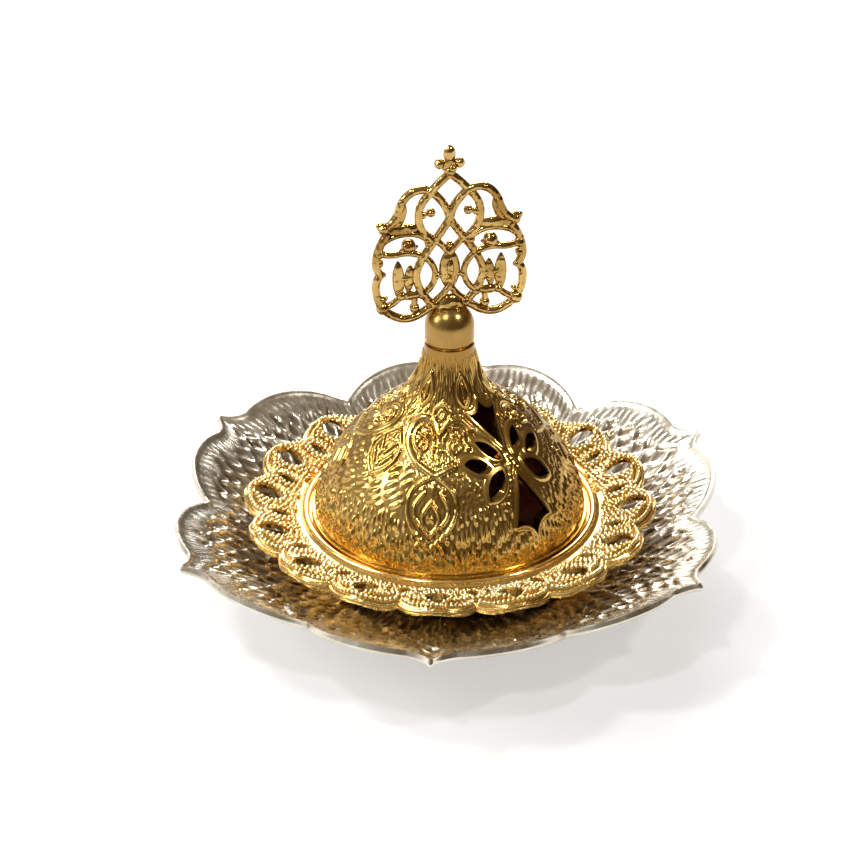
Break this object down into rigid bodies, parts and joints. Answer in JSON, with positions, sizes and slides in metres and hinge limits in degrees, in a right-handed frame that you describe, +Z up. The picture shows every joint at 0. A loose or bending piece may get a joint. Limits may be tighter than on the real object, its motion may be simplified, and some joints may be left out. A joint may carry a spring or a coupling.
{
  "type": "incense burner",
  "caption": "Table incense burner: petal-edged dish on a low foot, openwork saucer with a drop-in bowl, and a pierced ogee dome lid with a turning palmette finial.",
  "frame": {"origin": "on the table, under the middle of the foot", "axes": "+Z up along the burner's axis, +Y to the back through a petal's tip, +X to the right"},
  "size_m": [0.099, 0.109, 0.09],
  "materials": {
    "gold_plate": "polished gold plate, embossed",
    "silver_plate": "polished silver plate, embossed",
    "steel": "plain zinc-plated"
  },
  "bodies": {
    "base": {"base_foot": "silver_plate", "lotus_tray": "silver_plate", "saucer_riser": "gold_plate", "lace_saucer": "gold_plate", "centre_screw": "steel", "centre_washer": "steel", "centre_nut": "steel"},
    "bowl": {"burner_bowl": "gold_plate"},
    "lid": {"dome_lid": "gold_plate", "finial_washer": "steel"},
    "finial": {"finial_screw": "steel", "finial_ferrule": "gold_plate", "finial_palmette": "gold_plate"}
  },
  "joints": [
    {"name": "bowl_lift", "type": "slide", "parent": "base", "child": "bowl", "axis": [0, 0, 1], "range_m": [0, 0.03]},
    {"name": "lid_lift", "type": "slide", "parent": "bowl", "child": "lid", "axis": [0, 0, 1], "range_m": [0, 0.06]},
    {"name": "finial_turn", "type": "hinge", "parent": "lid", "child": "finial", "pos_m": [0, 0, 0.0513], "axis": [0, 0, 1], "continuous": true}
  ]
}
